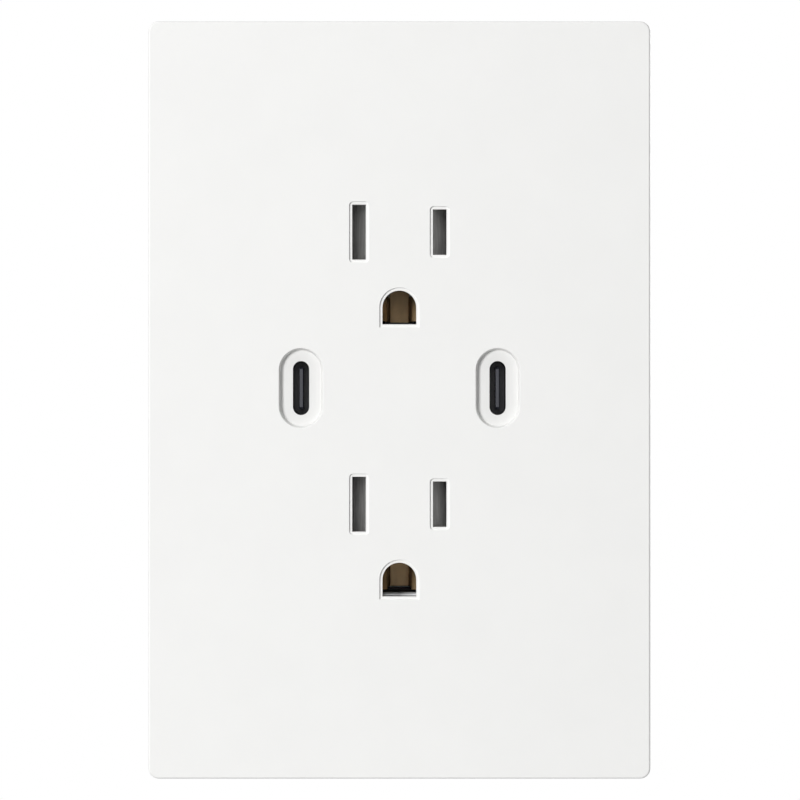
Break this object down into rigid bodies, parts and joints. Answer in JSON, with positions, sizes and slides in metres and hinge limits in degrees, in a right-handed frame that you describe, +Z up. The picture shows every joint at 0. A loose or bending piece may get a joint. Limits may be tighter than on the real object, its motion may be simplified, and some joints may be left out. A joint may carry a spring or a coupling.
{
  "type": "usb wall socket",
  "caption": "Duplex three-pin wall outlet with upright USB-C charging ports behind a flat white screwless plate.",
  "frame": {"origin": "on the wall plane, midway between the two box screws, at the middle of the plate", "axes": "+X right seen from the front, +Y back into the wall, +Z up the plate"},
  "size_m": [0.079, 0.0415, 0.1192],
  "materials": {
    "plate_white": "satin",
    "face_white": "satin",
    "frame_white": "matte",
    "housing_grey": "matte",
    "shutter_grey": "satin",
    "carrier_black": "matte",
    "zinc_steel": "satin",
    "brass": "satin",
    "nickel": "satin",
    "green_steel": "satin",
    "spring_steel": "satin",
    "connector_steel": "satin",
    "tongue_grey": "matte",
    "gold": "polished",
    "board_green": "satin",
    "chip_black": "matte",
    "ferrite": "matte",
    "winding_tape": "satin",
    "can_sleeve": "gloss",
    "sheet_film": "matte"
  },
  "bodies": {
    "socket": {"wall_plate": "plate_white", "sub_plate": "frame_white", "sub_plate_screws": "zinc_steel", "face_housing": "face_white", "rear_housing": "housing_grey", "assembly_screws": "zinc_steel", "yoke": "zinc_steel", "box_screws": "zinc_steel", "ground_screw": "green_steel", "upper_ground_contact": "brass", "lower_ground_contact": "brass", "ground_rivets": "brass", "hot_bus": "brass", "neutral_bus": "nickel", "hot_terminal_screws": "brass", "neutral_terminal_screws": "nickel", "hot_clamp_plates": "brass", "neutral_clamp_plates": "nickel", "contact_carrier": "carrier_black", "insulator_sheet": "sheet_film", "left_usb_shell": "connector_steel", "right_usb_shell": "connector_steel", "left_usb_tongue": "tongue_grey", "right_usb_tongue": "tongue_grey", "left_usb_contacts": "gold", "right_usb_contacts": "gold", "usb_board": "board_green", "usb_chips": "chip_black", "power_board": "board_green", "link_pins": "gold", "link_header": "chip_black", "transformer_core": "ferrite", "transformer_winding": "winding_tape", "bulk_capacitors": "can_sleeve", "output_capacitors": "can_sleeve", "choke": "ferrite", "fuse": "chip_black", "rectifier": "chip_black", "power_chips": "chip_black", "upper_shutter_tray": "carrier_black", "upper_shutter_spring": "spring_steel", "lower_shutter_tray": "carrier_black", "lower_shutter_spring": "spring_steel"},
    "upper_hot_shutter": {"upper_hot_shutter": "shutter_grey"},
    "upper_neutral_shutter": {"upper_neutral_shutter": "shutter_grey"},
    "lower_hot_shutter": {"lower_hot_shutter": "shutter_grey"},
    "lower_neutral_shutter": {"lower_neutral_shutter": "shutter_grey"}
  },
  "joints": [
    {"name": "upper_hot_slide", "type": "slide", "parent": "socket", "child": "upper_hot_shutter", "axis": [-1, 0, 0], "range_m": [0, 0.0028], "stiffness_N_per_m": 60, "springref_m": -0.001, "deforming": ["upper_shutter_spring"]},
    {"name": "upper_neutral_slide", "type": "slide", "parent": "socket", "child": "upper_neutral_shutter", "axis": [1, 0, 0], "range_m": [0, 0.0028], "stiffness_N_per_m": 60, "springref_m": -0.001},
    {"name": "lower_hot_slide", "type": "slide", "parent": "socket", "child": "lower_hot_shutter", "axis": [-1, 0, 0], "range_m": [0, 0.0028], "stiffness_N_per_m": 60, "springref_m": -0.001, "deforming": ["lower_shutter_spring"]},
    {"name": "lower_neutral_slide", "type": "slide", "parent": "socket", "child": "lower_neutral_shutter", "axis": [1, 0, 0], "range_m": [0, 0.0028], "stiffness_N_per_m": 60, "springref_m": -0.001}
  ],
  "couplings": [
    {"joint": "upper_neutral_slide", "follows": "upper_hot_slide", "ratio": 1},
    {"joint": "lower_neutral_slide", "follows": "lower_hot_slide", "ratio": 1}
  ]
}
